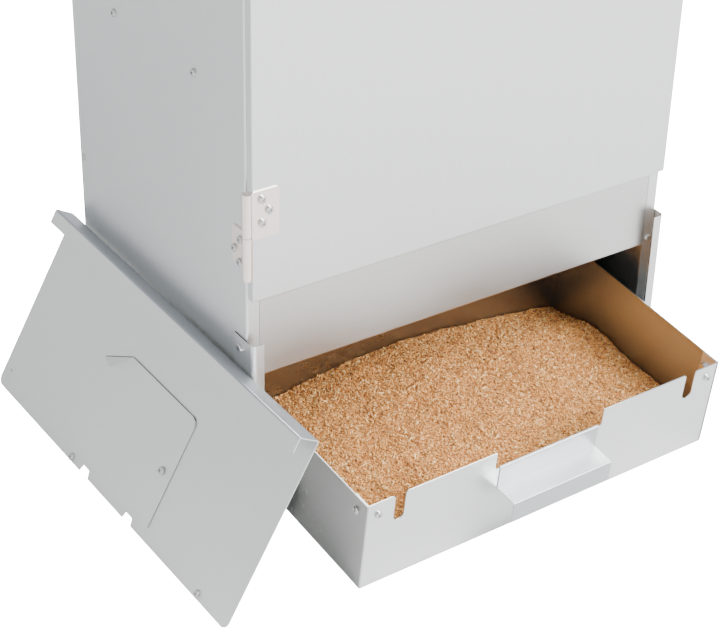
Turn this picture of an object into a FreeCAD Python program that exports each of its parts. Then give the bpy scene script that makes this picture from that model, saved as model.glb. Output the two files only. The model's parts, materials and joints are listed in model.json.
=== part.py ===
import FreeCAD, Part
import math
import os
from FreeCAD import Placement, Rotation, Vector

os.makedirs("parts", exist_ok=True)

# Sheet-metal smoker cabinet. Millimetres, +X right, -Y front, +Z up.
# Origin on the floor, in the middle of the cabinet's base.
SHEET = 1.0
HALF_W = 220.0
HALF_D = 148.0
HEIGHT = 830.0
FLANGE = 12.0
SILL = 12.5
OPENING_TOP = 150.5
STRIP_TOP = 262.0
CHAMBER_TOP = 790.0

CHANNEL_TOPS = (189.0, 184.5)
CHANNEL_DEPTH = 10.9
CHANNEL_FLANGE = 11.0

DOOR_LEFT = -218.6
DOOR_RIGHT = 217.7
DOOR_BOTTOM = 230.0
DOOR_TOP = 812.0
DOOR_FACE = -156.0
DOOR_BACK = -148.4

PIN_X = -225.0
PIN_Y = -158.6
PIN_R = 2.0
KNUCKLE_R = 4.2
KNUCKLE_BORE = 2.3
LEAF = 1.2
HINGE_LEVELS = {"lower": 256.0, "upper": 706.0}

RAIL_LEVELS = {"drip_tray_rails": 392.0, "lower_rack_rails": 492.0, "upper_rack_rails": 592.0}
RAIL_HOLES = (66.0, -69.4)
ROD_RAIL_Z = 722.0
ROD_Y = (-90.0, 0.0, 90.0)
ROD_R = 3.0
ROD_Z = 734.0

DRAWER_HALF = 193.8
DRAWER_DEPTH = 220.0
DRAWER_HEIGHT = 93.4
DRAWER_NOSE = Vector(5.33, -268.23, 0.35)
DRAWER_TILT = 6.25
DRAWER_YAW = 1.41

COVER_HALF = 214.0
COVER_HEIGHT = 182.0
COVER_LIP = 19.8
COVER_DROP = 13.8
COVER_LEAN = 29.42
COVER_TOP_X = -222.3
COVER_MID_Y = -47.8
FLAP_NEAR = -74.1
FLAP_FAR = 66.5
FLAP_TOP = -61.9
FLAP_BOTTOM = -169.0
FLAP_GAP = 0.35
PIVOT = (-60.2, -119.4)
FLAP_STOPS = ((62.3, -177.2), (-165.3, -175.4))
EDGE_RIVET = (202.3, 0.0, -163.6)

LATCH_X = 192.0
LATCH_Z = 521.0
GAUGE_Z = 740.0
VENT_R = 45.0

UPRIGHT = Rotation()
ALONG_X = Rotation(Vector(1, 1, 1), 120)
ALONG_MINUS_Y = Rotation(Vector(1, 0, 0), 90)


def box(x0, x1, y0, y1, z0, z1):
    return Part.makeBox(x1 - x0, y1 - y0, z1 - z0, Vector(x0, y0, z0))


def rod(start, direction, radius, length):
    return Part.makeCylinder(radius, length, Vector(*start), Vector(*direction))


def join(shapes):
    return shapes[0].multiFuse(shapes[1:]).removeSplitter() if len(shapes) > 1 else shapes[0]


def mirrored(shape):
    return shape.mirror(Vector(0, 0, 0), Vector(1, 0, 0))


def both_sides(shape):
    return Part.makeCompound([shape, mirrored(shape)])


def export(name, shape):
    shape.exportStep("parts/" + name + ".step")


def across(direction):
    return Vector(-direction.y, direction.x, 0)


def sheet_face(points, thick=SHEET, inner=0.6):
    """Section of a folded sheet, from the corner points of its centre line."""
    half = thick / 2
    bend = inner + half
    pts = [Vector(x, y, 0) for x, y in points]
    steps = [(b - a).normalize() for a, b in zip(pts, pts[1:])]
    edges = []
    start = pts[0]
    for i, step in enumerate(steps):
        normal = across(step)
        end = pts[i + 1]
        last = i == len(steps) - 1
        if not last:
            ahead = steps[i + 1]
            turn = step.getAngle(ahead)
            sign = 1 if step.cross(ahead).z > 0 else -1
            back = bend * math.tan(turn / 2)
            centre = end - step * back + normal * (bend * sign)
            outward = (end - centre).normalize()
            leave = end + ahead * back
            end = end - step * back
        for side in (1, -1):
            shift = normal * (half * side)
            edges.append(Part.makeLine(start + shift, end + shift))
            if not last:
                middle = centre + outward * (bend - sign * side * half)
                far = leave + across(ahead) * (half * side)
                edges.append(Part.Arc(end + shift, middle, far).toShape())
        if last:
            edges.append(Part.makeLine(end + normal * half, end - normal * half))
        else:
            start = leave
    first = across(steps[0]) * half
    edges.append(Part.makeLine(pts[0] + first, pts[0] - first))
    return Part.Face(Part.Wire(Part.__sortEdges__(edges)))


def folded(points, low, high, turn=UPRIGHT, thick=SHEET, inner=0.6):
    """Folded sheet, drawn in its section plane and run from low to high along the plane's normal."""
    solid = sheet_face(points, thick, inner).extrude(Vector(0, 0, high - low))
    solid.translate(Vector(0, 0, low))
    solid.Placement = Placement(Vector(0, 0, 0), turn).multiply(solid.Placement)
    return solid


def pan_screw(at, out, length, head_r=3.6, shank_r=2.0, head_h=2.2):
    """Pan-head screw: at is where the head's underside sits, out points away from the sheet."""
    out = Vector(*out)
    at = Vector(*at)
    head = Part.makeCylinder(head_r, head_h, at, out)
    rim = [e for e in head.Edges if e.Closed and (e.CenterOfMass - at).dot(out) > head_h / 2]
    head = head.makeFillet(head_h * 0.55, rim)
    recess = [slot_block(at + out * head_h, out, angle, head_r) for angle in (45, 135)]
    shank = Part.makeCylinder(shank_r, length, at, out * -1)
    return head.cut(Part.makeCompound(recess)).fuse(shank).removeSplitter()


def slot_block(at, out, angle, head_r):
    block = box(-head_r * 0.5, head_r * 0.5, -0.4, 0.4, -1.1, 0.2)
    block.rotate(Vector(0, 0, 0), Vector(0, 0, 1), angle)
    block.Placement = Placement(at, Rotation(Vector(0, 0, 1), out)).multiply(block.Placement)
    return block


def hex_nut(at, out, bore=2.0, flats=3.5, thick=3.0):
    """Hex nut standing from at along out."""
    corners = [Vector(flats / math.cos(math.pi / 6), 0, 0)]
    for i in range(1, 7):
        angle = i * math.pi / 3
        corners.append(Vector(math.cos(angle), math.sin(angle), 0) * corners[0].x)
    nut = Part.Face(Part.makePolygon(corners)).extrude(Vector(0, 0, thick))
    nut = nut.cut(Part.makeCylinder(bore, thick))
    nut.Placement = Placement(Vector(*at), Rotation(Vector(0, 0, 1), Vector(*out)))
    return nut


def holes(points, axis, radius=2.0, reach=8.0):
    """Cylinders centred on each point, to cut clearance for screws."""
    axis = Vector(*axis)
    return Part.makeCompound(
        [Part.makeCylinder(radius, 2 * reach, Vector(*p) - axis * reach, axis) for p in points])


# Screw places on the cabinet
RAIL_STARTS = list(RAIL_LEVELS.values()) + [ROD_RAIL_Z]
RAIL_SPOTS = [(-HALF_W, y, z + 8.0) for z in RAIL_STARTS for y in RAIL_HOLES]
CHANNEL_SPOTS = [(-HALF_W - SHEET, -138.8, z) for z in (178.2, 40.0)]
STRIP_SPOTS = [(-214.4, -HALF_D, 156.7), (-211.8, -HALF_D, 252.0), (-211.8, -HALF_D, 798.0)]
ROOF_SPOTS = [(-HALF_W - 1.2, y, HEIGHT - 7.5) for y in (-110.0, 0.0, 110.0)]
SEAM_SPOTS = [(-HALF_W, 141.0, z) for z in (45.0, 230.0, 415.0, 600.0, 785.0)]


def leaf_spots(base):
    """Screw places of one hinge: on the door's face and on the cabinet's side."""
    door = [(-210.3, DOOR_FACE - LEAF, base + 67.9),
            (-203.8, DOOR_FACE - LEAF, base + 57.0),
            (-210.3, DOOR_FACE - LEAF, base + 46.7)]
    side = [(-HALF_W - LEAF, -141.8, base + 27.2),
            (-HALF_W - LEAF, -132.4, base + 15.4),
            (-HALF_W - LEAF, -140.4, base + 5.6)]
    return door, side


def side_panel():
    front = -HALF_D + 0.5
    path = [(-HALF_W + FLANGE, front), (-HALF_W + 0.5, front), (-HALF_W + 0.5, HALF_D - SHEET)]
    return folded(path, 0, HEIGHT - SHEET, inner=1.0)


def make_sides():
    fittings = RAIL_SPOTS + CHANNEL_SPOTS + SEAM_SPOTS
    plain = side_panel().cut(holes(fittings, (1, 0, 0), reach=4)).cut(holes(STRIP_SPOTS, (0, 1, 0), reach=3))
    plain = plain.cut(holes(ROOF_SPOTS, (1, 0, 0), radius=1.6, reach=4))
    hinge_holes = [p for base in HINGE_LEVELS.values() for p in leaf_spots(base)[1]]
    export("left_side_panel", plain.cut(holes(hinge_holes, (1, 0, 0), reach=4)))
    export("right_side_panel", mirrored(plain))


def make_back():
    side, rear = HALF_W - 1.5, HALF_D - 0.5
    path = [(-side, 133), (-side, rear), (side, rear), (side, 133)]
    back = folded(path, 0, HEIGHT - SHEET)
    rivets = both_sides(holes(SEAM_SPOTS, (1, 0, 0), reach=4))
    export("back_panel", back.cut(rivets))


def make_floor():
    side = HALF_W - 2.7
    path = [(-side, SILL), (-side, 0.5), (side, 0.5), (side, SILL)]
    floor = folded(path, -HALF_D + 14, HALF_D - 14, ALONG_MINUS_Y)
    plate = box(-side + 2, side - 2, -HALF_D + SHEET, HALF_D - SHEET - 0.1, 0, SHEET)
    sill = folded([(-HALF_D + 0.5, SILL), (-HALF_D + 0.5, 0.5), (-HALF_D + 16, 0.5)], -207.4, 207.4, ALONG_X)
    export("floor_panel", join([floor, plate, sill]))
    runner = folded([(150, 1.5), (160, 1.5), (160, 11.5), (174, 11.5), (174, 1.5), (184, 1.5)],
                    -125, 130, ALONG_MINUS_Y)
    export("drawer_runners", both_sides(runner))


def make_roof():
    top = box(-HALF_W - 1.2, HALF_W + 1.2, -HALF_D - 1.2, HALF_D + 1.2, HEIGHT - 13, HEIGHT)
    top = top.makeFillet(1.5, [e for e in top.Edges if e.BoundBox.ZMax > HEIGHT - 0.1])
    inside = box(-HALF_W - 0.2, HALF_W + 0.2, -HALF_D - 0.2, HALF_D + 0.2, HEIGHT - 14, HEIGHT - SHEET)
    pivot = rod((0, 0, HEIGHT - 3), (0, 0, 1), 3, 6)
    rim_holes = both_sides(holes(ROOF_SPOTS, (1, 0, 0), radius=1.6, reach=4))
    cuts = Part.makeCompound(vent_bores(HEIGHT - 3) + [pivot])
    export("roof_panel", top.cut(inside).cut(cuts).cut(rim_holes))


def vent_bores(low):
    """Four smoke holes around the vent's pivot."""
    angles = [math.radians(90 * i + 45) for i in range(4)]
    return [rod((28 * math.cos(a), 28 * math.sin(a), low), (0, 0, 1), 8, 6) for a in angles]


def make_vent():
    low = HEIGHT + 0.35
    disc = rod((0, 0, low), (0, 0, 1), VENT_R, SHEET)
    tab = folded([(VENT_R - 6, low + 0.5), (VENT_R + 6, low + 0.5), (VENT_R + 6, low + 15)],
                 -9, 9, ALONG_MINUS_Y)
    pivot = rod((0, 0, low - 1), (0, 0, 1), 3.3, 4)
    export("vent_disc", join([disc, tab]).cut(Part.makeCompound(vent_bores(low - 1) + [pivot])))
    rivet = rod((0, 0, HEIGHT - 3), (0, 0, 1), 3, 5)
    head = rod((0, 0, HEIGHT + 1.7), (0, 0, 1), 7, 1.6)
    head = head.makeFillet(0.9, [e for e in head.Edges if e.Closed and e.CenterOfMass.z > HEIGHT + 3])
    tail = rod((0, 0, HEIGHT - 3), (0, 0, 1), 5, 2)
    export("vent_rivet", join([rivet, head, tail]))


def front_strip(low, high, return_z):
    """Plate between the side flanges, with a fold at one edge and a tab behind each flange."""
    half = HALF_W - FLANGE - 0.4
    path = [(-HALF_D + 13, return_z), (-HALF_D + 0.5, return_z)]
    path.append((-HALF_D + 0.5, high if return_z < (low + high) / 2 else low))
    plate = folded(path, -half, half, ALONG_X)
    tab = box(-HALF_W + 3, -half + 4, -HALF_D + SHEET, -HALF_D + 2 * SHEET, low + 2, high - 2)
    strip = join([plate, tab, mirrored(tab)])
    return strip.cut(both_sides(holes(STRIP_SPOTS, (0, 1, 0), reach=4)))


def make_strips():
    export("lower_front_strip", front_strip(OPENING_TOP, STRIP_TOP, OPENING_TOP + 0.5))
    export("upper_front_strip", front_strip(CHAMBER_TOP, HEIGHT - SHEET, CHAMBER_TOP + 0.5))


def make_channels():
    front = -HALF_D - CHANNEL_DEPTH + 0.5
    path = [(-HALF_W - SHEET + CHANNEL_FLANGE, front), (-HALF_W - 0.5, front), (-HALF_W - 0.5, -129.2)]
    left, right = [folded(path, 0.5, top, inner=3.0) for top in CHANNEL_TOPS]
    bores = holes(CHANNEL_SPOTS, (1, 0, 0), reach=3)
    export("left_cover_channel", left.cut(bores))
    export("right_cover_channel", mirrored(right.cut(bores)))


def make_rails():
    for name, low in RAIL_LEVELS.items():
        path = [(-HALF_W + 1.5, low + 18), (-HALF_W + 1.5, low + 0.5), (-HALF_W + 16, low + 0.5)]
        rail = folded(path, -130, 130, ALONG_MINUS_Y).cut(holes(RAIL_SPOTS, (1, 0, 0)))
        export(name, both_sides(rail))
    low = ROD_RAIL_Z
    path = [(-HALF_W + 1.5, low + 18), (-HALF_W + 1.5, low + 0.5), (-HALF_W + 14.5, low + 0.5),
            (-HALF_W + 14.5, low + 12)]
    notches = [rod((-HALF_W + 10, y, ROD_Z), (1, 0, 0), ROD_R, 10) for y in ROD_Y]
    rail = folded(path, -127, 127, ALONG_MINUS_Y).cut(Part.makeCompound(notches))
    export("rod_rails", both_sides(rail.cut(holes(RAIL_SPOTS, (1, 0, 0)))))
    rods = [rod((-HALF_W + 3, y, ROD_Z), (1, 0, 0), ROD_R, 2 * HALF_W - 6) for y in ROD_Y]
    export("hanging_rods", Part.makeCompound(rods))


def make_fasteners():
    left = [pan_screw(p, (-1, 0, 0), 6) for p in RAIL_SPOTS + CHANNEL_SPOTS]
    export("side_screws", both_sides(Part.makeCompound(left)))
    nuts = [hex_nut((-HALF_W + 2, p[1], p[2]), (1, 0, 0)) for p in RAIL_SPOTS]
    export("rail_nuts", both_sides(Part.makeCompound(nuts)))
    left = [pan_screw(p, (0, -1, 0), 5, head_h=1.8) for p in STRIP_SPOTS if p[2] < 200]
    hidden = [pan_screw(p, (0, -1, 0), 5, head_r=3.2, head_h=1.2) for p in STRIP_SPOTS if p[2] > 200]
    export("strip_screws", both_sides(Part.makeCompound(left + hidden)))
    rivets = [pop_rivet(p, 2.0, 3.0) for p in SEAM_SPOTS]
    rivets += [pop_rivet(p, 1.6, 3.2) for p in ROOF_SPOTS]
    export("seam_rivets", both_sides(Part.makeCompound(rivets)))


def pop_rivet(at, radius, length):
    x, y, z = at
    shank = rod((x + length, y, z), (-1, 0, 0), radius, length)
    head = rod((x, y, z), (-1, 0, 0), radius * 1.7, 0.9)
    head = head.makeFillet(0.5, [e for e in head.Edges if e.Closed and e.CenterOfMass.x < x - 0.8])
    return join([shank, head])


def make_tray():
    outer = box(-213.5, 213.5, -128, 128, 393, 413)
    outer = outer.makeFillet(6, [e for e in outer.Edges if e.BoundBox.ZLength > 19])
    outer = outer.makeFillet(3, [e for e in outer.Edges if e.BoundBox.ZMax < 393.1])
    inner = box(-212.5, 212.5, -127, 127, 394, 414)
    inner = inner.makeFillet(5, [e for e in inner.Edges if e.BoundBox.ZLength > 19])
    inner = inner.makeFillet(2, [e for e in inner.Edges if e.BoundBox.ZMax < 394.1])
    export("drip_tray", outer.cut(inner))


def wire_rack(level):
    """Rectangular frame wire with thinner wires welded across its top."""
    half_x, half_y, corner, frame_r, bar_r = 212.0, 126.0, 8.0, 2.0, 1.25
    z = level + frame_r
    plate = box(-half_x, half_x, -half_y, half_y, z - 1, z)
    plate = plate.makeFillet(corner, [e for e in plate.Edges if e.BoundBox.ZLength > 0.9])
    outline = [f for f in plate.Faces if f.BoundBox.ZMin > z - 0.01][0].OuterWire
    first = outline.Edges[0]
    ring = Part.Wire([Part.makeCircle(frame_r, first.valueAt(first.FirstParameter),
                                      first.tangentAt(first.FirstParameter))])
    frame = outline.makePipeShell([ring], True, False)
    bars = []
    for i in range(17):
        x = -192.0 + 24.0 * i
        bars.append(rod((x, -half_y, z + frame_r + bar_r - 0.5), (0, 1, 0), bar_r, 2 * half_y))
    for y in (-42.0, 42.0):
        bars.append(rod((-half_x, y, z - 0.2), (1, 0, 0), 1.6, 2 * half_x))
    return join([frame] + bars)


def make_racks():
    export("lower_wire_rack", wire_rack(RAIL_LEVELS["lower_rack_rails"] + 1))
    export("upper_wire_rack", wire_rack(RAIL_LEVELS["upper_rack_rails"] + 1))


def make_door():
    outer = box(DOOR_LEFT, DOOR_RIGHT, DOOR_FACE, DOOR_BACK, DOOR_BOTTOM, DOOR_TOP)
    outer = outer.makeFillet(0.8, [e for e in outer.Edges if e.BoundBox.YMax < DOOR_FACE + 0.1])
    inner = box(DOOR_LEFT + 1, DOOR_RIGHT - 1, DOOR_FACE + 1, DOOR_BACK + 1,
                DOOR_BOTTOM + 1, DOOR_TOP - 1)
    door = outer.cut(inner)
    spots = [p for base in HINGE_LEVELS.values() for p in leaf_spots(base)[0]]
    openings = [rod((LATCH_X, DOOR_FACE - 1, LATCH_Z), (0, 1, 0), 8, 4),
                rod((0, DOOR_FACE - 1, GAUGE_Z), (0, 1, 0), 4, 4)]
    export("door_panel", door.cut(holes(spots, (0, 1, 0))).cut(Part.makeCompound(openings)))


def knuckle(low, high, bore):
    barrel = rod((PIN_X, PIN_Y, low), (0, 0, 1), KNUCKLE_R, high - low)
    return barrel.cut(rod((PIN_X, PIN_Y, low - 1), (0, 0, 1), bore, high - low + 2))


def door_leaf(base, mid, top):
    """Leaf on the door's face; its lower corner is cut away round the knuckle below."""
    plate = box(PIN_X + 2, -194.3, DOOR_FACE - LEAF, DOOR_FACE, base + 32.8, base + 75.6)
    corners = [e for e in plate.Edges if e.BoundBox.XMin > -195 and e.BoundBox.YLength > 1]
    plate = plate.makeFillet(2, corners)
    plate = plate.cut(rod((PIN_X, PIN_Y, base), (0, 0, 1), KNUCKLE_R + 0.5, mid - base + 0.4))
    bore = rod((PIN_X, PIN_Y, base), (0, 0, 1), KNUCKLE_BORE, 90)
    leaf = join([knuckle(mid, top, KNUCKLE_BORE), plate]).cut(bore)
    return leaf.cut(holes(leaf_spots(base)[0], (0, 1, 0)))


def cabinet_leaf(base, mid):
    """Leaf on the cabinet's side; its upper corner is cut away behind the door's leaf."""
    plate = box(-HALF_W - LEAF, -HALF_W, PIN_Y, -128.5, base + 1, base + 36.2)
    corners = [e for e in plate.Edges if e.BoundBox.YMin > -129 and e.BoundBox.XLength > 1]
    plate = plate.makeFillet(2, corners)
    plate = plate.cut(box(-HALF_W - 2, -HALF_W + 1, PIN_Y - 1, -155.4, base + 32.3, mid))
    bore = rod((PIN_X, PIN_Y, base), (0, 0, 1), PIN_R, 90)
    leaf = join([knuckle(base, mid - 0.4, PIN_R), plate]).cut(bore)
    return leaf.cut(holes(leaf_spots(base)[1], (1, 0, 0)))


def make_hinges():
    door_nuts, side_nuts, door_screws, side_screws, pins = [], [], [], [], []
    for name, base in HINGE_LEVELS.items():
        door, side = leaf_spots(base)
        mid = base + 38.8
        top = base + 77.5
        export(name + "_hinge_door_leaf", door_leaf(base, mid, top))
        export(name + "_hinge_cabinet_leaf", cabinet_leaf(base, mid))
        pin = rod((PIN_X, PIN_Y, base - 0.6), (0, 0, 1), PIN_R, 78.3)
        cap = rod((PIN_X, PIN_Y, base - 1.6), (0, 0, 1), 3.2, 1.6)
        pins.append(join([pin, cap]))
        door_screws += [pan_screw(p, (0, -1, 0), 5.5) for p in door]
        side_screws += [pan_screw(p, (-1, 0, 0), 6) for p in side]
        door_nuts += [hex_nut((p[0], DOOR_FACE + 1, p[2]), (0, 1, 0)) for p in door]
        side_nuts += [hex_nut((-HALF_W + 1, p[1], p[2]), (1, 0, 0)) for p in side]
    export("hinge_pins", Part.makeCompound(pins))
    export("hinge_door_screws", Part.makeCompound(door_screws))
    export("hinge_cabinet_screws", Part.makeCompound(side_screws))
    export("hinge_door_nuts", Part.makeCompound(door_nuts))
    export("hinge_cabinet_nuts", Part.makeCompound(side_nuts))


def ring(centre, out, outer, inner, thick):
    return rod(centre, out, outer, thick).cut(rod(centre, out, inner, thick))


def make_gauge():
    y = DOOR_FACE
    back = rod((0, y, GAUGE_Z), (0, -1, 0), 30, 1.2)
    case = join([ring((0, y, GAUGE_Z), (0, -1, 0), 30, 26, 9), back])
    rim = [e for e in case.Edges if e.Closed and e.BoundBox.YMax < y - 8.9 and e.BoundBox.XMax > 29]
    case = case.makeFillet(1.5, rim)
    export("gauge_case", case.cut(rod((0, y + 1, GAUGE_Z), (0, -1, 0), 4, 3)))
    dial = rod((0, y - 1.2, GAUGE_Z), (0, -1, 0), 26, 0.8)
    export("gauge_dial", dial.cut(rod((0, y, GAUGE_Z), (0, -1, 0), 2, 4)))
    hub = rod((0, y - 3, GAUGE_Z), (0, -1, 0), 3, 1.0)
    needle = join([hub, box(-0.8, 0.8, y - 4, y - 3, GAUGE_Z - 7, GAUGE_Z + 20)])
    needle.rotate(Vector(0, y, GAUGE_Z), Vector(0, 1, 0), -125)
    export("gauge_needle", needle)
    export("gauge_glass", rod((0, y - 6.5, GAUGE_Z), (0, -1, 0), 26, 1.5))
    thread = rod((0, y - 1.2, GAUGE_Z), (0, 1, 0), 4, 12)
    thread = thread.cut(rod((0, y - 2, GAUGE_Z), (0, 1, 0), 2, 14))
    probe = rod((0, y - 3, GAUGE_Z), (0, 1, 0), 2, 60)
    export("gauge_probe", join([thread, probe]))
    export("gauge_nut", hex_nut((0, y + 1, GAUGE_Z), (0, 1, 0), 4.0, 7.0, 4.0))


def at_latch(y):
    return (LATCH_X, y, LATCH_Z)


def make_latch():
    y = DOOR_FACE
    along = (0, 1, 0)
    collar = join([ring(at_latch(y - 3), along, 13, 4.35, 3), ring(at_latch(y), along, 8, 4.35, 3)])
    export("latch_collar", collar)
    export("latch_spindle", rod(at_latch(y - 9), along, 4, 24))
    grip = box(LATCH_X - 7, LATCH_X + 7, y - 16, y - 3.4, LATCH_Z - 12, LATCH_Z + 25)
    rounded = [e for e in grip.Edges if e.BoundBox.YLength < 0.1 or e.BoundBox.YLength > 10]
    grip = grip.makeFillet(3, rounded)
    export("latch_handle", grip.cut(rod(at_latch(y - 9), along, 4, 12)))
    low = -HALF_D + 1.4
    cam = box(LATCH_X - 7, LATCH_X + 7, low, low + 2, LATCH_Z - 8, LATCH_Z + 22)
    cam = cam.makeFillet(3, [e for e in cam.Edges if e.BoundBox.YLength > 1.9])
    export("latch_cam", cam.cut(rod(at_latch(low - 2), along, 4, 8)))
    export("latch_cam_nut", hex_nut(at_latch(low + 2), along, 4.0, 6.5, 3.0))
    export("latch_spacer", ring(at_latch(y + 3.4), along, 6.5, 4.0, low - y - 3.4))


def in_drawer(shape):
    """Move a shape from the drawer's own frame, at its front bottom edge, to where the drawer lies."""
    turn = Rotation(Vector(0, 0, 1), DRAWER_YAW).multiply(Rotation(Vector(1, 0, 0), DRAWER_TILT))
    placed = shape.copy()
    placed.Placement = Placement(DRAWER_NOSE, turn).multiply(placed.Placement)
    return placed


def slot_cut(centre):
    """Open-topped slot with a rounded foot and rounded mouth."""
    half, depth, mouth = 5.4, 28.5, 3.0
    top = DRAWER_HEIGHT
    shaft = box(centre - half, centre + half, -2, 3, top - depth + half, top + 1)
    foot = rod((centre, -2, top - depth + half), (0, 1, 0), half, 5)
    flare = box(centre - half - mouth, centre + half + mouth, -2, 3, top - mouth, top + 1)
    for side in (-1, 1):
        corner = rod((centre + side * (half + mouth), -3, top - mouth), (0, 1, 0), mouth, 8)
        flare = flare.cut(corner)
    return join([shaft, foot, flare])


def recess_cut():
    top = DRAWER_HEIGHT
    block = box(-60.0, 57.9, -2, 3, top - 18.7, top + 10)
    feet = [e for e in block.Edges if e.BoundBox.YLength > 4 and e.BoundBox.ZMax < top]
    return block.makeFillet(3.5, feet)


FRONT_SCREWS = [(x, 0.0, 80.2) for x in (-181.9, 181.9)]
SIDE_SCREWS = [(-DRAWER_HALF, 13.5, 79.5)]


def make_drawer():
    half = DRAWER_HALF - 0.5
    path = [(-half, DRAWER_HEIGHT), (-half, 0.5), (half, 0.5), (half, DRAWER_HEIGHT)]
    tray = folded(path, -DRAWER_DEPTH, 0, ALONG_MINUS_Y)
    back = box(-half, half, DRAWER_DEPTH - SHEET, DRAWER_DEPTH, 0.5, DRAWER_HEIGHT)
    lower = [e for e in back.Edges if e.BoundBox.YLength > 0.9 and e.BoundBox.ZMax < 1]
    back = back.makeFillet(1.0, lower)
    side = both_sides(holes(SIDE_SCREWS, (1, 0, 0), reach=4))
    tray = join([tray, back]).cut(side)
    export("drawer_tray", in_drawer(tray))
    inner = DRAWER_HALF - 1.5
    path = [(-inner, 19), (-inner, 0.5), (inner, 0.5), (inner, 19)]
    front = folded(path, SHEET, DRAWER_HEIGHT)
    cuts = [slot_cut(-160.2), slot_cut(160.2), recess_cut(), side]
    cuts.append(holes(FRONT_SCREWS, (0, 1, 0), reach=4))
    for cut in cuts:
        front = front.cut(cut)
    export("drawer_front", in_drawer(front))
    path = [(1.55, 62), (1.55, 75.9), (-0.5, 75.9), (-0.5, 52.6), (-23.7, 52.6), (-23.7, 31.4)]
    handle = folded(path, -54.6, 54.0, ALONG_X, inner=0.4)
    handle.rotate(Vector(0, 0, 52.6), Vector(0, 1, 0), -0.4)
    export("drawer_handle", in_drawer(handle))


def make_drawer_fasteners():
    screws = [pan_screw(p, (0, -1, 0), 5) for p in FRONT_SCREWS]
    side = [pan_screw(p, (-1, 0, 0), 5) for p in SIDE_SCREWS]
    export("drawer_screws", in_drawer(Part.makeCompound(screws + side + [mirrored(n) for n in side])))
    nuts = [hex_nut((p[0], 1, p[2]), (0, 1, 0)) for p in FRONT_SCREWS]
    side = [hex_nut((-DRAWER_HALF + 2, p[1], p[2]), (1, 0, 0)) for p in SIDE_SCREWS]
    export("drawer_nuts", in_drawer(Part.makeCompound(nuts + side + [mirrored(n) for n in side])))


def prism(points, low, high, turn):
    """Solid between a flat base and a broken line of (place, height) points."""
    base = 1.05
    first, last = points[0][0], points[-1][0]
    outline = [(first, base)] + points + [(last, base), (first, base)]
    face = Part.Face(Part.makePolygon([Vector(a, b, 0) for a, b in outline]))
    solid = face.extrude(Vector(0, 0, high - low))
    solid.translate(Vector(0, 0, low))
    solid.Placement = Placement(Vector(0, 0, 0), turn).multiply(solid.Placement)
    return solid


def make_chips():
    """Heap of wood chips, highest along the middle and lower towards the right."""
    half = DRAWER_HALF - 2.1
    across_drawer = [(-half, 31), (-120, 38), (-50, 45), (20, 45), (80, 38), (140, 31), (half, 26)]
    along_drawer = [(1.1, 33), (45, 41), (100, 45), (160, 44), (DRAWER_DEPTH - 1.1, 38)]
    width = prism(across_drawer, -DRAWER_DEPTH, 0, ALONG_MINUS_Y)
    length = prism(along_drawer, -half, half, ALONG_X)
    export("wood_chips", in_drawer(width.common(length)))


def on_cover(shape):
    """Move a shape from the cover's own frame, at the middle of its top edge, to where the cover leans."""
    lean = math.radians(COVER_LEAN)
    top_z = 0.35 + SHEET * math.sin(lean) + COVER_HEIGHT * math.cos(lean)
    out = Vector(-math.cos(lean), 0, math.sin(lean))
    up = Vector(math.sin(lean), 0, math.cos(lean))
    turn = Rotation(Vector(0, 1, 0), out, up, "ZXY")
    placed = shape.copy()
    placed.Placement = Placement(Vector(COVER_TOP_X, COVER_MID_Y, top_z), turn).multiply(placed.Placement)
    return placed


def cover_notch(centre):
    low = -COVER_HEIGHT
    corners = [(centre - 8.6, low - 1), (centre - 5.5, low + 8.2), (centre + 5.5, low + 8.2),
               (centre + 8.6, low - 1)]
    return cover_cut(corners)


def cover_cut(corners):
    """Straight-sided cut through the cover's face."""
    face = Part.Face(Part.makePolygon([Vector(x, -3, z) for x, z in corners + corners[:1]]))
    return face.extrude(Vector(0, 6, 0))


def make_cover():
    low = -COVER_HEIGHT
    path = [(-0.5, low), (-0.5, -0.5), (COVER_LIP - 0.5, -0.5), (COVER_LIP - 0.5, -COVER_DROP)]
    cover = folded(path, -COVER_HALF, COVER_HALF, ALONG_X, inner=1.0)
    end = COVER_HALF + 5
    cover = cover.cut(cover_cut([(-end, low - 2), (end, low - 2), (end, low), (-end, low + 2.4)]))
    tips = []
    for e in cover.Edges:
        reach = e.BoundBox.XMin if e.BoundBox.XMin > 0 else -e.BoundBox.XMax
        foot = e.BoundBox.ZMax < low + 3 and e.BoundBox.YLength > 0.9
        if reach > COVER_HALF - 0.1 and foot:
            tips.append(e)
    cover = cover.makeFillet(8, tips)
    window = box(-32, 48, -3, 2, -150, -82)
    window = window.makeFillet(5, [e for e in window.Edges if e.BoundBox.YLength > 4])
    bore = [(u, 0, v) for u, v in FLAP_STOPS] + [(PIVOT[0], 0, PIVOT[1])]
    bores = [holes(bore, (0, 1, 0), reach=3), holes([EDGE_RIVET], (0, 1, 0), radius=0.9, reach=3)]
    for cut in [window, cover_notch(-44.0), cover_notch(36.9)] + bores:
        cover = cover.cut(cut)
    export("cover_panel", on_cover(cover))
    stops = [pan_screw((u, 0, v), (0, 1, 0), 4.0) for u, v in FLAP_STOPS]
    export("cover_screws", on_cover(Part.makeCompound(stops)))
    raised = FLAP_GAP + SHEET + FLAP_GAP
    pivot = pan_screw((PIVOT[0], raised, PIVOT[1]), (0, 1, 0), 4.0 + raised, head_r=4.0)
    export("flap_pivot_screw", on_cover(pivot))
    nuts = [hex_nut((u, -1, v), (0, -1, 0), 2.0, 3.0, 2.0) for u, v in list(FLAP_STOPS) + [PIVOT]]
    export("cover_nuts", on_cover(Part.makeCompound(nuts)))
    rivet = join([rod(EDGE_RIVET, (0, 1, 0), 1.6, 0.8), rod(EDGE_RIVET, (0, -1, 0), 0.9, SHEET)])
    export("cover_rivet", on_cover(rivet))


TAB_START = (41.0, FLAP_TOP)
TAB_END = (FLAP_FAR, FLAP_TOP - 23.5)


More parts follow.
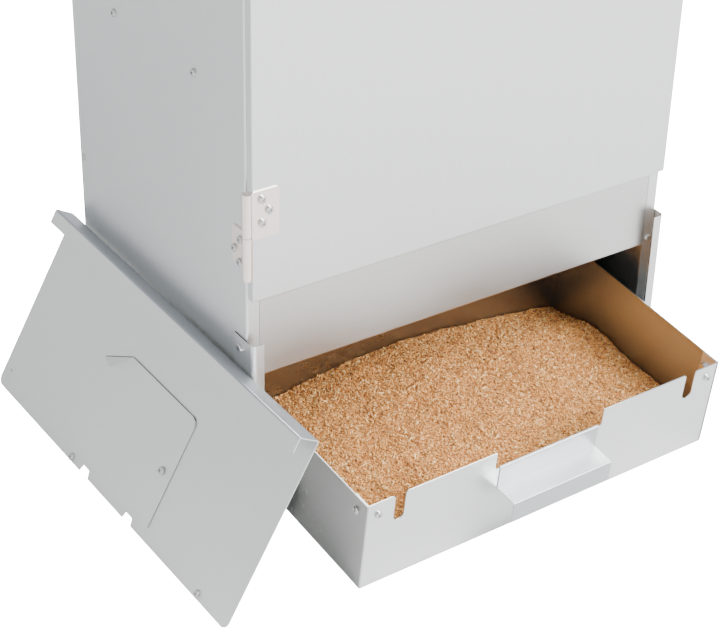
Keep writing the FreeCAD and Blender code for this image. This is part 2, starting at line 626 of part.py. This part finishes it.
def flap_tab():
    """Corner of the flap folded outward as a finger tab, with the sheet's bend between them."""
    mid = FLAP_GAP + SHEET / 2
    start = Vector(TAB_START[0], mid, TAB_START[1])
    end = Vector(TAB_END[0], mid, TAB_END[1])
    corner = Vector(FLAP_FAR, mid, FLAP_TOP)
    drop = Vector(0, SHEET / 2, 0)
    face = Part.Face(Part.makePolygon([start - drop, end - drop, corner - drop, start - drop]))
    tab = face.extrude(drop * 2)
    upright = [e for e in tab.Edges if e.BoundBox.YLength > 0.9 and e.BoundBox.DiagonalLength < 1.1]
    tab = tab.makeFillet(2.0, [e for e in upright if e.CenterOfMass.distanceToPoint(corner) < 0.5])
    tab.rotate(start, start - end, 80)
    line = end - start
    fold = Part.makeCylinder(SHEET / 2, line.Length - 1.0, start + line.normalize() * 0.5, end - start)
    return tab, fold


def make_flap():
    y0 = FLAP_GAP
    plate = box(FLAP_NEAR, FLAP_FAR, y0, y0 + SHEET, FLAP_BOTTOM, FLAP_TOP)
    upright = [e for e in plate.Edges if e.BoundBox.YLength > 0.9]
    corner = [e for e in upright if e.BoundBox.ZMax > FLAP_TOP - 1 and e.BoundBox.XMax < 0]
    plate = plate.makeFillet(8, corner)
    foot = [e for e in plate.Edges if e.BoundBox.YLength > 0.9 and e.BoundBox.ZMax < FLAP_BOTTOM + 1]
    plate = plate.makeFillet(3, foot)
    outline = [TAB_START, TAB_END, (FLAP_FAR + 1, FLAP_TOP + 1), (TAB_START[0], FLAP_TOP + 1)]
    wedge = Part.Face(Part.makePolygon([Vector(x, y0 - 1, z) for x, z in outline + outline[:1]]))
    plate = plate.cut(wedge.extrude(Vector(0, 4, 0)))
    tab, fold = flap_tab()
    flap = join([plate, tab, fold]).cut(holes([(PIVOT[0], 0, PIVOT[1])], (0, 1, 0), radius=2.35, reach=4))
    export("air_flap", on_cover(flap))


make_sides()
make_back()
make_floor()
make_roof()
make_vent()
make_strips()
make_channels()
make_rails()
make_fasteners()
make_tray()
make_racks()
make_door()
make_hinges()
make_gauge()
make_latch()
make_drawer()
make_drawer_fasteners()
make_chips()
make_cover()
make_flap()
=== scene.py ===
import json
import math

import bpy
import numpy as np
from mathutils import Matrix, Vector


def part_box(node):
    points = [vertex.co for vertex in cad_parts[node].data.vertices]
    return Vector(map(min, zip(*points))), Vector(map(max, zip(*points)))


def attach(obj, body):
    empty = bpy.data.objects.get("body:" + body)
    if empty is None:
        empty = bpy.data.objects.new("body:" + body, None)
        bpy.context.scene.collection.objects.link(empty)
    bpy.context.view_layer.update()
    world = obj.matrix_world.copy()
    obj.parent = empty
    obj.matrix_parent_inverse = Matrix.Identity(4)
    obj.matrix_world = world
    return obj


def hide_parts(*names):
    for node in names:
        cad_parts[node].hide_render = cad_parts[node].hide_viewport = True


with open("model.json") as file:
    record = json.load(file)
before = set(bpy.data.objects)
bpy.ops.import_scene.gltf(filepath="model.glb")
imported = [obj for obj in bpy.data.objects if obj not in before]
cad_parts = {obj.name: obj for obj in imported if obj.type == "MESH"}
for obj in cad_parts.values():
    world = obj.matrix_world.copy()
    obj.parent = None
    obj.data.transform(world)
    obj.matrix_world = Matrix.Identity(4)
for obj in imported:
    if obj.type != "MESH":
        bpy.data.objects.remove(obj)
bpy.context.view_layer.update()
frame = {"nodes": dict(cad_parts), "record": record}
rng = np.random.default_rng(7)


# ---------------------------------------------------------------- node materials

class Build:
    """One node material, with short calls for the nodes that it needs."""

    def __init__(self, name, color, rough, metallic=0.0):
        self.mat = bpy.data.materials.new(name)
        self.mat.use_nodes = True
        self.nodes = self.mat.node_tree.nodes
        self.links = self.mat.node_tree.links
        self.bsdf = self.nodes["Principled BSDF"]
        self.set("Base Color", (*color, 1.0))
        self.set("Roughness", rough)
        self.set("Metallic", metallic)
        self.coords = self.nodes.new("ShaderNodeTexCoord").outputs["Object"]

    def set(self, socket, value):
        self.bsdf.inputs[socket].default_value = value

    def link(self, out, socket):
        self.links.new(out, self.bsdf.inputs[socket])

    def scaled(self, scale):
        node = self.nodes.new("ShaderNodeMapping")
        node.inputs["Scale"].default_value = scale
        self.links.new(self.coords, node.inputs["Vector"])
        return node.outputs["Vector"]

    def noise(self, scale, detail=2.0, rough=0.5, vector=None, stretch=(1, 1, 1)):
        node = self.nodes.new("ShaderNodeTexNoise")
        node.inputs["Scale"].default_value = scale
        node.inputs["Detail"].default_value = detail
        node.inputs["Roughness"].default_value = rough
        self.links.new(vector or self.scaled(stretch), node.inputs["Vector"])
        return node.outputs["Fac"]

    def cells(self, scale, output="Color", stretch=(1, 1, 1)):
        node = self.nodes.new("ShaderNodeTexVoronoi")
        node.inputs["Scale"].default_value = scale
        self.links.new(self.scaled(stretch), node.inputs["Vector"])
        return node.outputs[output]

    def math(self, kind, a, b):
        node = self.nodes.new("ShaderNodeMath")
        node.operation = kind
        for socket, value in zip(node.inputs, (a, b)):
            if isinstance(value, (int, float)):
                socket.default_value = value
            else:
                self.links.new(value, socket)
        return node.outputs[0]

    def span(self, value, low, high, start=0.0, stop=1.0):
        node = self.nodes.new("ShaderNodeMapRange")
        self.links.new(value, node.inputs["Value"])
        for name, number in zip(("From Min", "From Max", "To Min", "To Max"), (start, stop, low, high)):
            node.inputs[name].default_value = number
        return node.outputs["Result"]

    def ramp(self, value, stops):
        node = self.nodes.new("ShaderNodeValToRGB")
        self.links.new(value, node.inputs["Fac"])
        ramp = node.color_ramp
        while len(ramp.elements) < len(stops):
            ramp.elements.new(0.5)
        for element, (place, color) in zip(ramp.elements, stops):
            element.position = place
            element.color = (*color, 1.0)
        return node.outputs["Color"]

    def attribute(self, name):
        node = self.nodes.new("ShaderNodeAttribute")
        node.attribute_name = name
        return node.outputs["Fac"]

    def mix(self, factor, a, b):
        node = self.nodes.new("ShaderNodeMix")
        node.data_type = "RGBA"
        self.links.new(factor, node.inputs["Factor"])
        for key, value in (("A", a), ("B", b)):
            sockets = [s for s in node.inputs if s.name == key and s.type == "RGBA"]
            if isinstance(value, tuple):
                sockets[0].default_value = (*value, 1.0)
            else:
                self.links.new(value, sockets[0])
        return [s for s in node.outputs if s.type == "RGBA"][0]

    def bump(self, height, strength, distance, after=None):
        node = self.nodes.new("ShaderNodeBump")
        node.inputs["Strength"].default_value = strength
        node.inputs["Distance"].default_value = distance
        self.links.new(height, node.inputs["Height"])
        if after is not None:
            self.links.new(after, node.inputs["Normal"])
        self.links.new(node.outputs["Normal"], self.bsdf.inputs["Normal"])
        return node.outputs["Normal"]


def tones(color, low, high):
    return tuple(min(1.0, c * low) for c in color), tuple(min(1.0, c * high) for c in color)


def galvanised(name, color, rough, along=(1, 1, 0.04), upward_tone_and_shade=None):
    """Zinc-coated sheet: faint crystal patches, fine grain and rolling marks along the sheet.

    With the last argument set to (low, tone), faces whose own normal points up by more than low take that
    tone: painted shade on up-facing faces (a painted dark reflection on the cover's lip top), laid over
    the raw colour of up-facing cut rims.
    """
    b = Build(name, color, rough, 1.0)
    patches = b.cells(170.0, "Color")
    cloud = b.noise(7.0, 3.0)
    grain = b.noise(1900.0, 2.0)
    rolled = b.noise(900.0, 2.0, stretch=along)
    dark, light = tones(color, 0.965, 1.03)
    mixed = b.math("ADD", b.math("MULTIPLY", grain, 0.45), b.math("MULTIPLY", rolled, 0.55))
    sheet = b.mix(b.span(mixed, 0.0, 1.0, 0.3, 0.7), dark, light)
    # painted shade: up-facing faces take the darker tone given
    if upward_tone_and_shade:
        normal = b.nodes.new("ShaderNodeNewGeometry").outputs["True Normal"]
        split = b.nodes.new("ShaderNodeSeparateXYZ")
        b.links.new(normal, split.inputs["Vector"])
        sheet = b.mix(b.math("GREATER_THAN", split.outputs["Z"], upward_tone_and_shade[0]), sheet, upward_tone_and_shade[1])
    b.link(sheet, "Base Color")
    separate = b.nodes.new("ShaderNodeSeparateColor")
    b.links.new(patches, separate.inputs["Color"])
    spread = b.math("ADD", b.span(separate.outputs["Red"], -0.02, 0.02), b.span(cloud, -0.05, 0.05))
    b.link(b.math("ADD", b.math("ADD", spread, b.span(rolled, -0.02, 0.02)), rough), "Roughness")
    first = b.bump(rolled, 0.06, 0.00015)
    b.bump(grain, 0.10, 0.0001, first)
    return b.mat


def plated(name, color, rough):
    """Bright plated steel with tiny scratches."""
    b = Build(name, color, rough, 1.0)
    fine = b.noise(1400.0, 3.0)
    dark, light = tones(color, 0.86, 1.06)
    b.link(b.mix(b.span(fine, 0.0, 1.0, 0.3, 0.7), dark, light), "Base Color")
    b.link(b.span(b.noise(300.0, 3.0), rough - 0.08, rough + 0.10), "Roughness")
    b.bump(fine, 0.12, 0.0001)
    return b.mat


def moulded(name, color, rough):
    b = Build(name, color, rough)
    fine = b.noise(2400.0, 2.0)
    dark, light = tones(color, 0.8, 1.25)
    b.link(b.mix(b.noise(60.0, 3.0), dark, light), "Base Color")
    b.link(b.span(fine, rough - 0.06, rough + 0.06), "Roughness")
    b.bump(fine, 0.25, 0.0001)
    return b.mat


def dial_face():
    b = Build("dial_face", (0.86, 0.86, 0.83), 0.45)
    b.link(b.mix(b.noise(400.0, 2.0), (0.83, 0.83, 0.80), (0.88, 0.88, 0.86)), "Base Color")
    b.link(b.span(b.noise(900.0), 0.40, 0.50), "Roughness")
    return b.mat


def painted_red():
    b = Build("painted_red", (0.50, 0.05, 0.03), 0.4)
    b.link(b.mix(b.noise(900.0), (0.44, 0.04, 0.03), (0.56, 0.06, 0.04)), "Base Color")
    b.link(b.span(b.noise(600.0), 0.35, 0.45), "Roughness")
    return b.mat


def clear_glass():
    b = Build("clear_glass", (0.95, 0.97, 0.97), 0.03)
    b.set("Transmission Weight", 1.0)
    b.set("IOR", 1.45)
    b.link(b.span(b.noise(80.0), 0.02, 0.05), "Roughness")
    return b.mat


def chip_wood(name):
    """Fine dry wood chips: each chip has its own tint, with fibres along it."""
    b = Build(name, (0.55, 0.33, 0.15), 0.75)
    tint = b.attribute("tint")
    fibre = b.noise(1500.0, 3.0)
    place = b.math("ADD", b.math("MULTIPLY", tint, 0.86), b.math("MULTIPLY", fibre, 0.14))
    b.link(b.ramp(place, [(0.0, (0.10, 0.035, 0.010)), (0.12, (0.26, 0.10, 0.030)),
                          (0.38, (0.62, 0.26, 0.062)), (0.72, (0.90, 0.45, 0.13)),
                          (1.0, (1.0, 0.76, 0.38))]), "Base Color")
    b.link(b.span(fibre, 0.62, 0.85), "Roughness")
    b.bump(fibre, 0.35, 0.0003)
    return b.mat


GALV = (0.715, 0.725, 0.715)
# strip under the door: the sheet tone darkened, painted shade
STRIP_PAINTED_SHADE = (0.60, 0.60, 0.585)
# drawer tray: the sheet tone darkened, painted shade inside and on the sides of the drawer
TRAY_PAINTED_SHADE = (0.42, 0.425, 0.415)
# drawer handle: darker, cooler sheet tone, painted shade
HANDLE_PAINTED_SHADE = (0.50, 0.515, 0.525)
UPWARD = 0.7
# channels' up-facing cut rims: near-black tone, partly the raw cut sheet, partly painted shade in the gap
# against the side panel
CHANNEL_RIM_AND_GAP_SHADE = (UPWARD, (0.08, 0.085, 0.09))
# cover: up-facing faces (the lip top) take a dark bluish tone, a painted reflection
LIP_TOP_PAINTED_REFLECTION = (UPWARD, (0.46, 0.485, 0.52))
# flap's up-facing cut rims: near-black tone, partly the raw cut sheet, partly a painted gap shadow
FLAP_RIM_AND_SHADOW = (UPWARD, (0.16, 0.17, 0.18))
LENGTHWISE = (0.04, 1, 1)
MATS = {
    "galvanised_sheet": galvanised("galvanised_upright", GALV, 0.36),
    "hinge_steel": plated("hinge_plate", (0.95, 0.85, 0.78), 0.30),
    "screw_steel": plated("screw_zinc", (0.60, 0.60, 0.59), 0.16),
    "wire_steel": plated("bright_wire", (0.74, 0.74, 0.75), 0.22),
    "dark_plastic": moulded("moulded_black", (0.030, 0.030, 0.032), 0.42),
    "dial_white": dial_face(),
    "needle_red": painted_red(),
    "clear_glass": clear_glass(),
    "wood_chips": chip_wood("chip_base"),
}
SPECIAL = {
    # cover material: painted dark reflection on its up-facing faces
    "cover_panel": galvanised("galvanised_cover_painted_reflection", GALV, 0.42, LENGTHWISE, LIP_TOP_PAINTED_REFLECTION),
    # flap material: painted gap shadow on its up-facing rims, over the raw cut colour
    "air_flap": galvanised("galvanised_flap_rim_and_shadow", GALV, 0.40, LENGTHWISE, FLAP_RIM_AND_SHADOW),
    # channel materials: painted gap shade on their up-facing rims, over the raw cut colour
    "left_cover_channel": galvanised("galvanised_left_channel_rim_shade", GALV, 0.36, upward_tone_and_shade=CHANNEL_RIM_AND_GAP_SHADE),
    "right_cover_channel": galvanised("galvanised_right_channel_rim_shade", GALV, 0.36, upward_tone_and_shade=CHANNEL_RIM_AND_GAP_SHADE),
    # drawer tray material: darker tone painted in as shade
    "drawer_tray": galvanised("galvanised_drawer_painted_shade", TRAY_PAINTED_SHADE, 0.30, LENGTHWISE),
    "drawer_front": galvanised("galvanised_drawer_front", GALV, 0.36, LENGTHWISE),
    # handle material: darker tone painted in as shade
    "drawer_handle": galvanised("galvanised_handle_painted_shade", HANDLE_PAINTED_SHADE, 0.36, LENGTHWISE),
    # strip material: darker tone painted in as the shade below the door
    "lower_front_strip": galvanised("galvanised_strip_painted_shade", STRIP_PAINTED_SHADE, 0.36, LENGTHWISE),
    "roof_panel": galvanised("galvanised_roof", GALV, 0.36, (1, 0.04, 1)),
}


def dress_frame():
    slots = {s["node"]: s["material_slot"] for s in frame["record"]["subparts"]}
    for node, obj in frame["nodes"].items():
        mat = SPECIAL.get(node) or MATS[slots[node]]
        obj.data.materials.clear()
        obj.data.materials.append(mat)


# ---------------------------------------------------------------- wood chips

NOSE = Vector((0.00533, -0.26823, 0.00035))
TILT = math.radians(6.25)
YAW = math.radians(1.41)
IN_DRAWER = Matrix.Translation(NOSE) @ Matrix.Rotation(YAW, 4, "Z") @ Matrix.Rotation(TILT, 4, "X")
HALF = 0.1917
FRONT, BACK = 0.0015, 0.2186


def smooth_noise(x, y, seed, scale):
    """Value noise on a grid of the given cell size, smooth between cells."""
    r = np.random.default_rng(seed)
    grid = r.random((64, 64))
    u, v = x / scale + 17.3, y / scale + 9.1
    i, j = np.floor(u).astype(int), np.floor(v).astype(int)
    fu, fv = u - i, v - j
    fu, fv = fu * fu * (3 - 2 * fu), fv * fv * (3 - 2 * fv)
    a, b = grid[i % 64, j % 64], grid[(i + 1) % 64, j % 64]
    c, d = grid[i % 64, (j + 1) % 64], grid[(i + 1) % 64, (j + 1) % 64]
    return (a * (1 - fu) + b * fu) * (1 - fv) + (c * (1 - fu) + d * fu) * fv


def heap(x, y):
    """Height of the chips above the drawer's floor, in the drawer's own frame."""
    ridge = np.interp(x, [-0.192, -0.134, -0.055, 0.002, 0.062, 0.124, 0.164, 0.192],
                      [0.034, 0.036, 0.042, 0.0425, 0.038, 0.032, 0.0285, 0.026])
    back = np.interp(x, [-0.192, -0.134, -0.110, -0.055, 0.002, 0.062, 0.124, 0.164, 0.192],
                     [0.0225, 0.0265, 0.030, 0.0370, 0.0385, 0.0345, 0.026, 0.0175, 0.0085])
    front = ridge - 0.010
    t = np.clip(y / 0.07, 0, 1)
    s = np.clip((y - 0.15) / 0.07, 0, 1)
    t, s = t * t * (3 - 2 * t), s * s * (3 - 2 * s)
    h = front * (1 - t) + ridge * t
    h = h * (1 - s) + back * s
    h = h + 0.0050 * (smooth_noise(x, y, 3, 0.055) - 0.5) + 0.0024 * (smooth_noise(x, y, 4, 0.017) - 0.5)
    return h + 0.0012 * (smooth_noise(x, y, 5, 0.006) - 0.5)


def mesh_object(name, verts, faces, mat, tint=None):
    mesh = bpy.data.meshes.new(name)
    mesh.vertices.add(len(verts))
    mesh.vertices.foreach_set("co", verts.astype(np.float32).ravel())
    count = faces.shape[1]
    mesh.loops.add(faces.size)
    mesh.loops.foreach_set("vertex_index", faces.astype(np.int32).ravel())
    mesh.polygons.add(len(faces))
    mesh.polygons.foreach_set("loop_start", np.arange(0, faces.size, count, dtype=np.int32))
    mesh.update(calc_edges=True)
    mesh.validate()
    if tint is not None:
        layer = mesh.attributes.new("tint", "FLOAT", "POINT")
        layer.data.foreach_set("value", tint.astype(np.float32))
    mesh.materials.append(mat)
    obj = bpy.data.objects.new(name, mesh)
    bpy.context.scene.collection.objects.link(obj)
    return obj


def moved(points):
    m = np.array(IN_DRAWER)
    return points @ m[:3, :3].T + m[:3, 3]


def chip_bed():
    """Closed block under the loose chips, its top following the heap."""
    nx, ny = 150, 90
    xs, ys = np.linspace(-HALF, HALF, nx), np.linspace(FRONT, BACK, ny)
    gx, gy = np.meshgrid(xs, ys, indexing="ij")
    top = np.stack([gx, gy, heap(gx, gy) - 0.0008], -1).reshape(-1, 3)
    low = top.copy()
    low[:, 2] = 0.00115
    verts = np.concatenate([top, low])
    i, j = np.meshgrid(np.arange(nx - 1), np.arange(ny - 1), indexing="ij")
    a = (i * ny + j).ravel()
    quads = [np.stack([a, a + ny, a + ny + 1, a + 1], -1)]
    n = nx * ny
    quads.append(np.stack([a + n, a + 1 + n, a + ny + 1 + n, a + ny + n], -1))
    rows = [np.arange(nx) * ny, np.arange(nx)[::-1] * ny + ny - 1]
    cols = [np.arange(ny)[::-1], (nx - 1) * ny + np.arange(ny)]
    for line in rows + cols:
        p, q = line[:-1], line[1:]
        quads.append(np.stack([p, p + n, q + n, q], -1))
    # bed tinted darker than the loose chips: painted shade in the gaps between chips
    tint = np.clip(0.30 + 0.5 * (rng.random(len(verts)) - 0.5), 0, 1)
    return mesh_object("wood_chip_bed", moved(verts), np.concatenate(quads), MATS["wood_chips"], tint)


def loose_chips(count):
    """Thousands of flat slivers strewn over the bed, no two alike."""
    x = rng.uniform(-HALF + 0.001, HALF - 0.001, count)
    y = rng.uniform(FRONT + 0.001, BACK - 0.001, count)
    length = np.clip(rng.lognormal(math.log(0.00145), 0.50, count), 0.0006, 0.0065)
    width = np.clip(length * rng.uniform(0.28, 0.75, count), 0.0005, 0.0022)
    thick = rng.uniform(0.00025, 0.0007, count)
    turn = rng.uniform(0, 2 * math.pi, count)
    pitch = rng.normal(0, 0.42, count)
    roll = rng.normal(0, 0.5, count)
    z = heap(x, y) - 0.0004 + rng.uniform(-0.0004, 0.0009, count)
    ct, st, cp, sp = np.cos(turn), np.sin(turn), np.cos(pitch), np.sin(pitch)
    cr, sr = np.cos(roll), np.sin(roll)
    e1 = np.stack([ct * cp, st * cp, sp], -1)
    side = np.stack([-st, ct, np.zeros(count)], -1)
    e3 = np.cross(e1, side)
    e2 = side * cr[:, None] + e3 * sr[:, None]
    e3 = np.cross(e1, e2)
    corners = np.array([(-1, -1, -1), (1, -0.7, -1), (1, 0.7, -1), (-1, 1, -1),
                        (-0.9, -0.9, 1), (0.9, -0.6, 1), (0.85, 0.6, 1), (-0.9, 0.8, 1)]) * 0.5
    jitter = 1 + rng.uniform(-0.25, 0.25, (count, 8, 3))
    c = corners[None] * jitter
    centre = np.stack([x, y, z], -1)[:, None]
    verts = (centre + c[..., :1] * (length[:, None] * e1)[:, None]
             + c[..., 1:2] * (width[:, None] * e2)[:, None] + c[..., 2:] * (thick[:, None] * e3)[:, None])
    verts = verts.reshape(-1, 3)
    verts[:, 0] = np.clip(verts[:, 0], -HALF, HALF)
    verts[:, 1] = np.clip(verts[:, 1], FRONT, BACK)
    box = np.array([(0, 3, 2, 1), (4, 5, 6, 7), (0, 1, 5, 4), (1, 2, 6, 5), (2, 3, 7, 6), (3, 0, 4, 7)])
    faces = (np.arange(count)[:, None, None] * 8 + box[None]).reshape(-1, 4)
    shade = np.clip(rng.normal(0.55, 0.25, count), 0.05, 1)
    dark = rng.random(count) < 0.07
    shade[dark] = rng.uniform(0.0, 0.2, dark.sum())
    pale = rng.random(count) < 0.10
    shade[pale] = rng.uniform(0.8, 1.0, pale.sum())
    return mesh_object("loose_wood_chips", moved(verts), faces, MATS["wood_chips"], np.repeat(shade, 8))


# ---------------------------------------------------------------- thermometer dial

def dial_marks():
    """Printed ring of ticks on the thermometer's face."""
    low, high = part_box("gauge_dial")
    centre = Vector(((low[0] + high[0]) / 2, low[1] - 0.00005, (low[2] + high[2]) / 2))
    verts, faces = [], []
    for i in range(41):
        angle = math.radians(225 - 270 * i / 40)
        inner = 0.0195 if i % 5 == 0 else 0.0215
        half = 0.00035 if i % 5 == 0 else 0.00018
        out = Vector((math.cos(angle), 0, math.sin(angle)))
        side = Vector((-math.sin(angle), 0, math.cos(angle))) * half
        base = len(verts)
        for r, s in ((inner, -1), (0.0238, -1), (0.0238, 1), (inner, 1)):
            verts.append(centre + out * r + side * s)
        faces.append([base, base + 1, base + 2, base + 3])
    points = np.array([tuple(v) for v in verts])
    return mesh_object("gauge_ticks", points, np.array(faces), MATS["dark_plastic"])


# ---------------------------------------------------------------- studio

def sky_light(tree):
    """Soft room light: pale round the horizon, dimmer and cooler overhead."""
    coords = tree.nodes.new("ShaderNodeTexCoord")
    split = tree.nodes.new("ShaderNodeSeparateXYZ")
    ramp = tree.nodes.new("ShaderNodeValToRGB")
    tree.links.new(coords.outputs["Generated"], split.inputs["Vector"])
    tree.links.new(split.outputs["Z"], ramp.inputs["Fac"])
    stops = ((0.0, (1.0, 1.0, 1.0)), (0.35, (0.92, 0.93, 0.94)),
             (0.65, (0.55, 0.57, 0.60)), (1.0, (0.42, 0.44, 0.48)))
    while len(ramp.color_ramp.elements) < len(stops):
        ramp.color_ramp.elements.new(0.5)
    for element, (place, color) in zip(ramp.color_ramp.elements, stops):
        element.position = place
        element.color = (*color, 1.0)
    tree.links.new(ramp.outputs["Color"], tree.nodes["Background"].inputs["Color"])
    tree.nodes["Background"].inputs["Strength"].default_value = 1.30


def studio():
    """Pale floor and soft lights.

    The white floor is the one that the camera sees, so it shows no shadow. The pale floor just
    above it is hidden from the camera, and lights the object from below.
    """
    scene = bpy.context.scene
    world = bpy.data.worlds.new("studio")
    scene.world = world
    world.use_nodes = True
    sky_light(world.node_tree)
    for name, level in (("floor", -0.0002), ("floor_white", -0.0006)):
        bpy.ops.mesh.primitive_plane_add(size=16)
        floor = bpy.context.object
        floor.name = name
        floor.location.z = level
        b = Build(name + "_paper", (0.86, 0.86, 0.86), 0.9)
        b.link(b.mix(b.noise(3.0), (0.85, 0.85, 0.85), (0.87, 0.87, 0.87)), "Base Color")
        floor.data.materials.append(b.mat)
        floor.visible_camera = name == "floor_white"
        if floor.visible_camera:
            b.set("Emission Color", (1.0, 1.0, 1.0, 1.0))
            b.set("Emission Strength", 14.0)
    for name, spot, aim, size, power in (
            ("key", (1.6, -2.6, 2.6), (0, 0, 0.3), 2.2, 330),
            ("top", (0.2, -0.6, 3.2), (0, 0, 0), 2.0, 32),
            ("left", (-2.6, -1.2, 1.8), (0, 0, 0.3), 1.6, 18)):
        data = bpy.data.lights.new(name, "AREA")
        data.size = size
        data.energy = power
        light = bpy.data.objects.new(name, data)
        light.location = spot
        light.rotation_euler = (Vector(aim) - Vector(spot)).to_track_quat("-Z", "Y").to_euler()
        scene.collection.objects.link(light)


def camera():
    yaw, pitch, roll = (math.radians(a) for a in (34.30, -32.28, 1.45))
    ahead = Vector((math.sin(yaw) * math.cos(pitch), math.cos(yaw) * math.cos(pitch), math.sin(pitch)))
    right = Vector((math.cos(yaw), -math.sin(yaw), 0))
    up = right.cross(ahead)
    x = right * math.cos(roll) + up * math.sin(roll)
    y = up * math.cos(roll) - right * math.sin(roll)
    data = bpy.data.cameras.new("camera")
    data.sensor_width = 36.0
    data.lens = 1999.37 / 720 * 36.0
    obj = bpy.data.objects.new("camera", data)
    obj.matrix_world = Matrix.Translation((-0.91887, -1.33631, 1.08596)) @ Matrix(
        (x, y, -ahead)).transposed().to_4x4()
    bpy.context.scene.collection.objects.link(obj)
    bpy.context.scene.camera = obj


dress_frame()
bed = chip_bed()
chips = loose_chips(62000)
for piece in (bed, chips):
    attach(piece, "drawer")
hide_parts("wood_chips")
ticks = dial_marks()
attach(ticks, "door")
studio()
camera()
